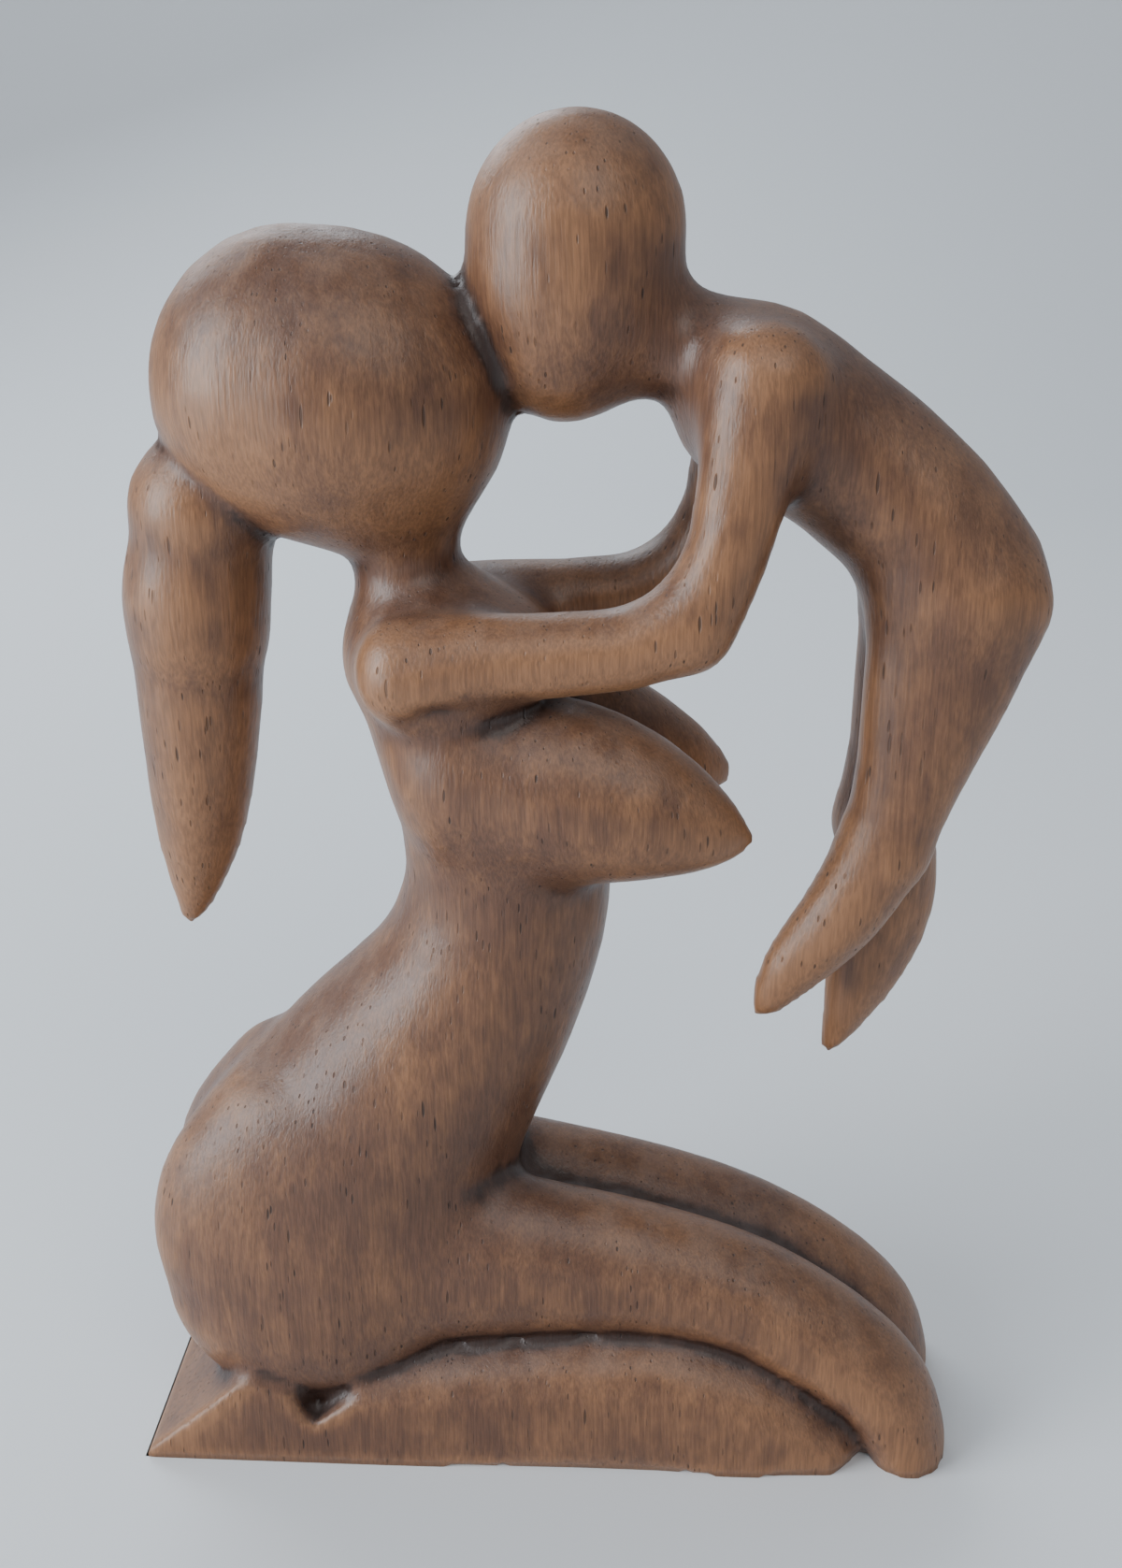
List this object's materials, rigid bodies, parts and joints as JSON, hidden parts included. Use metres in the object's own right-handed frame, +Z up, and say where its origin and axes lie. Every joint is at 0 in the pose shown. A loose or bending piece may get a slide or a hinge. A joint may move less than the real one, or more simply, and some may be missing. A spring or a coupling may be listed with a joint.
{
  "type": "carved wooden figure",
  "caption": "Carved wooden figure of a kneeling mother lifting a child by the arms, forehead to forehead, with smooth featureless heads, a long ponytail and a flat underside.",
  "frame": {"origin": "centre of the underside between the feet and the front of the shins, on the plane the figure stands on", "axes": "+Z up, +X from the mother's feet to her knees, +Y to the side that the camera does not see"},
  "size_m": [0.1329, 0.0422, 0.2],
  "materials": {
    "wood": "waxed satin, open pores, worn lighter on the edges"
  },
  "bodies": {
    "root": {"mother_and_child": "wood"}
  },
  "joints": []
}
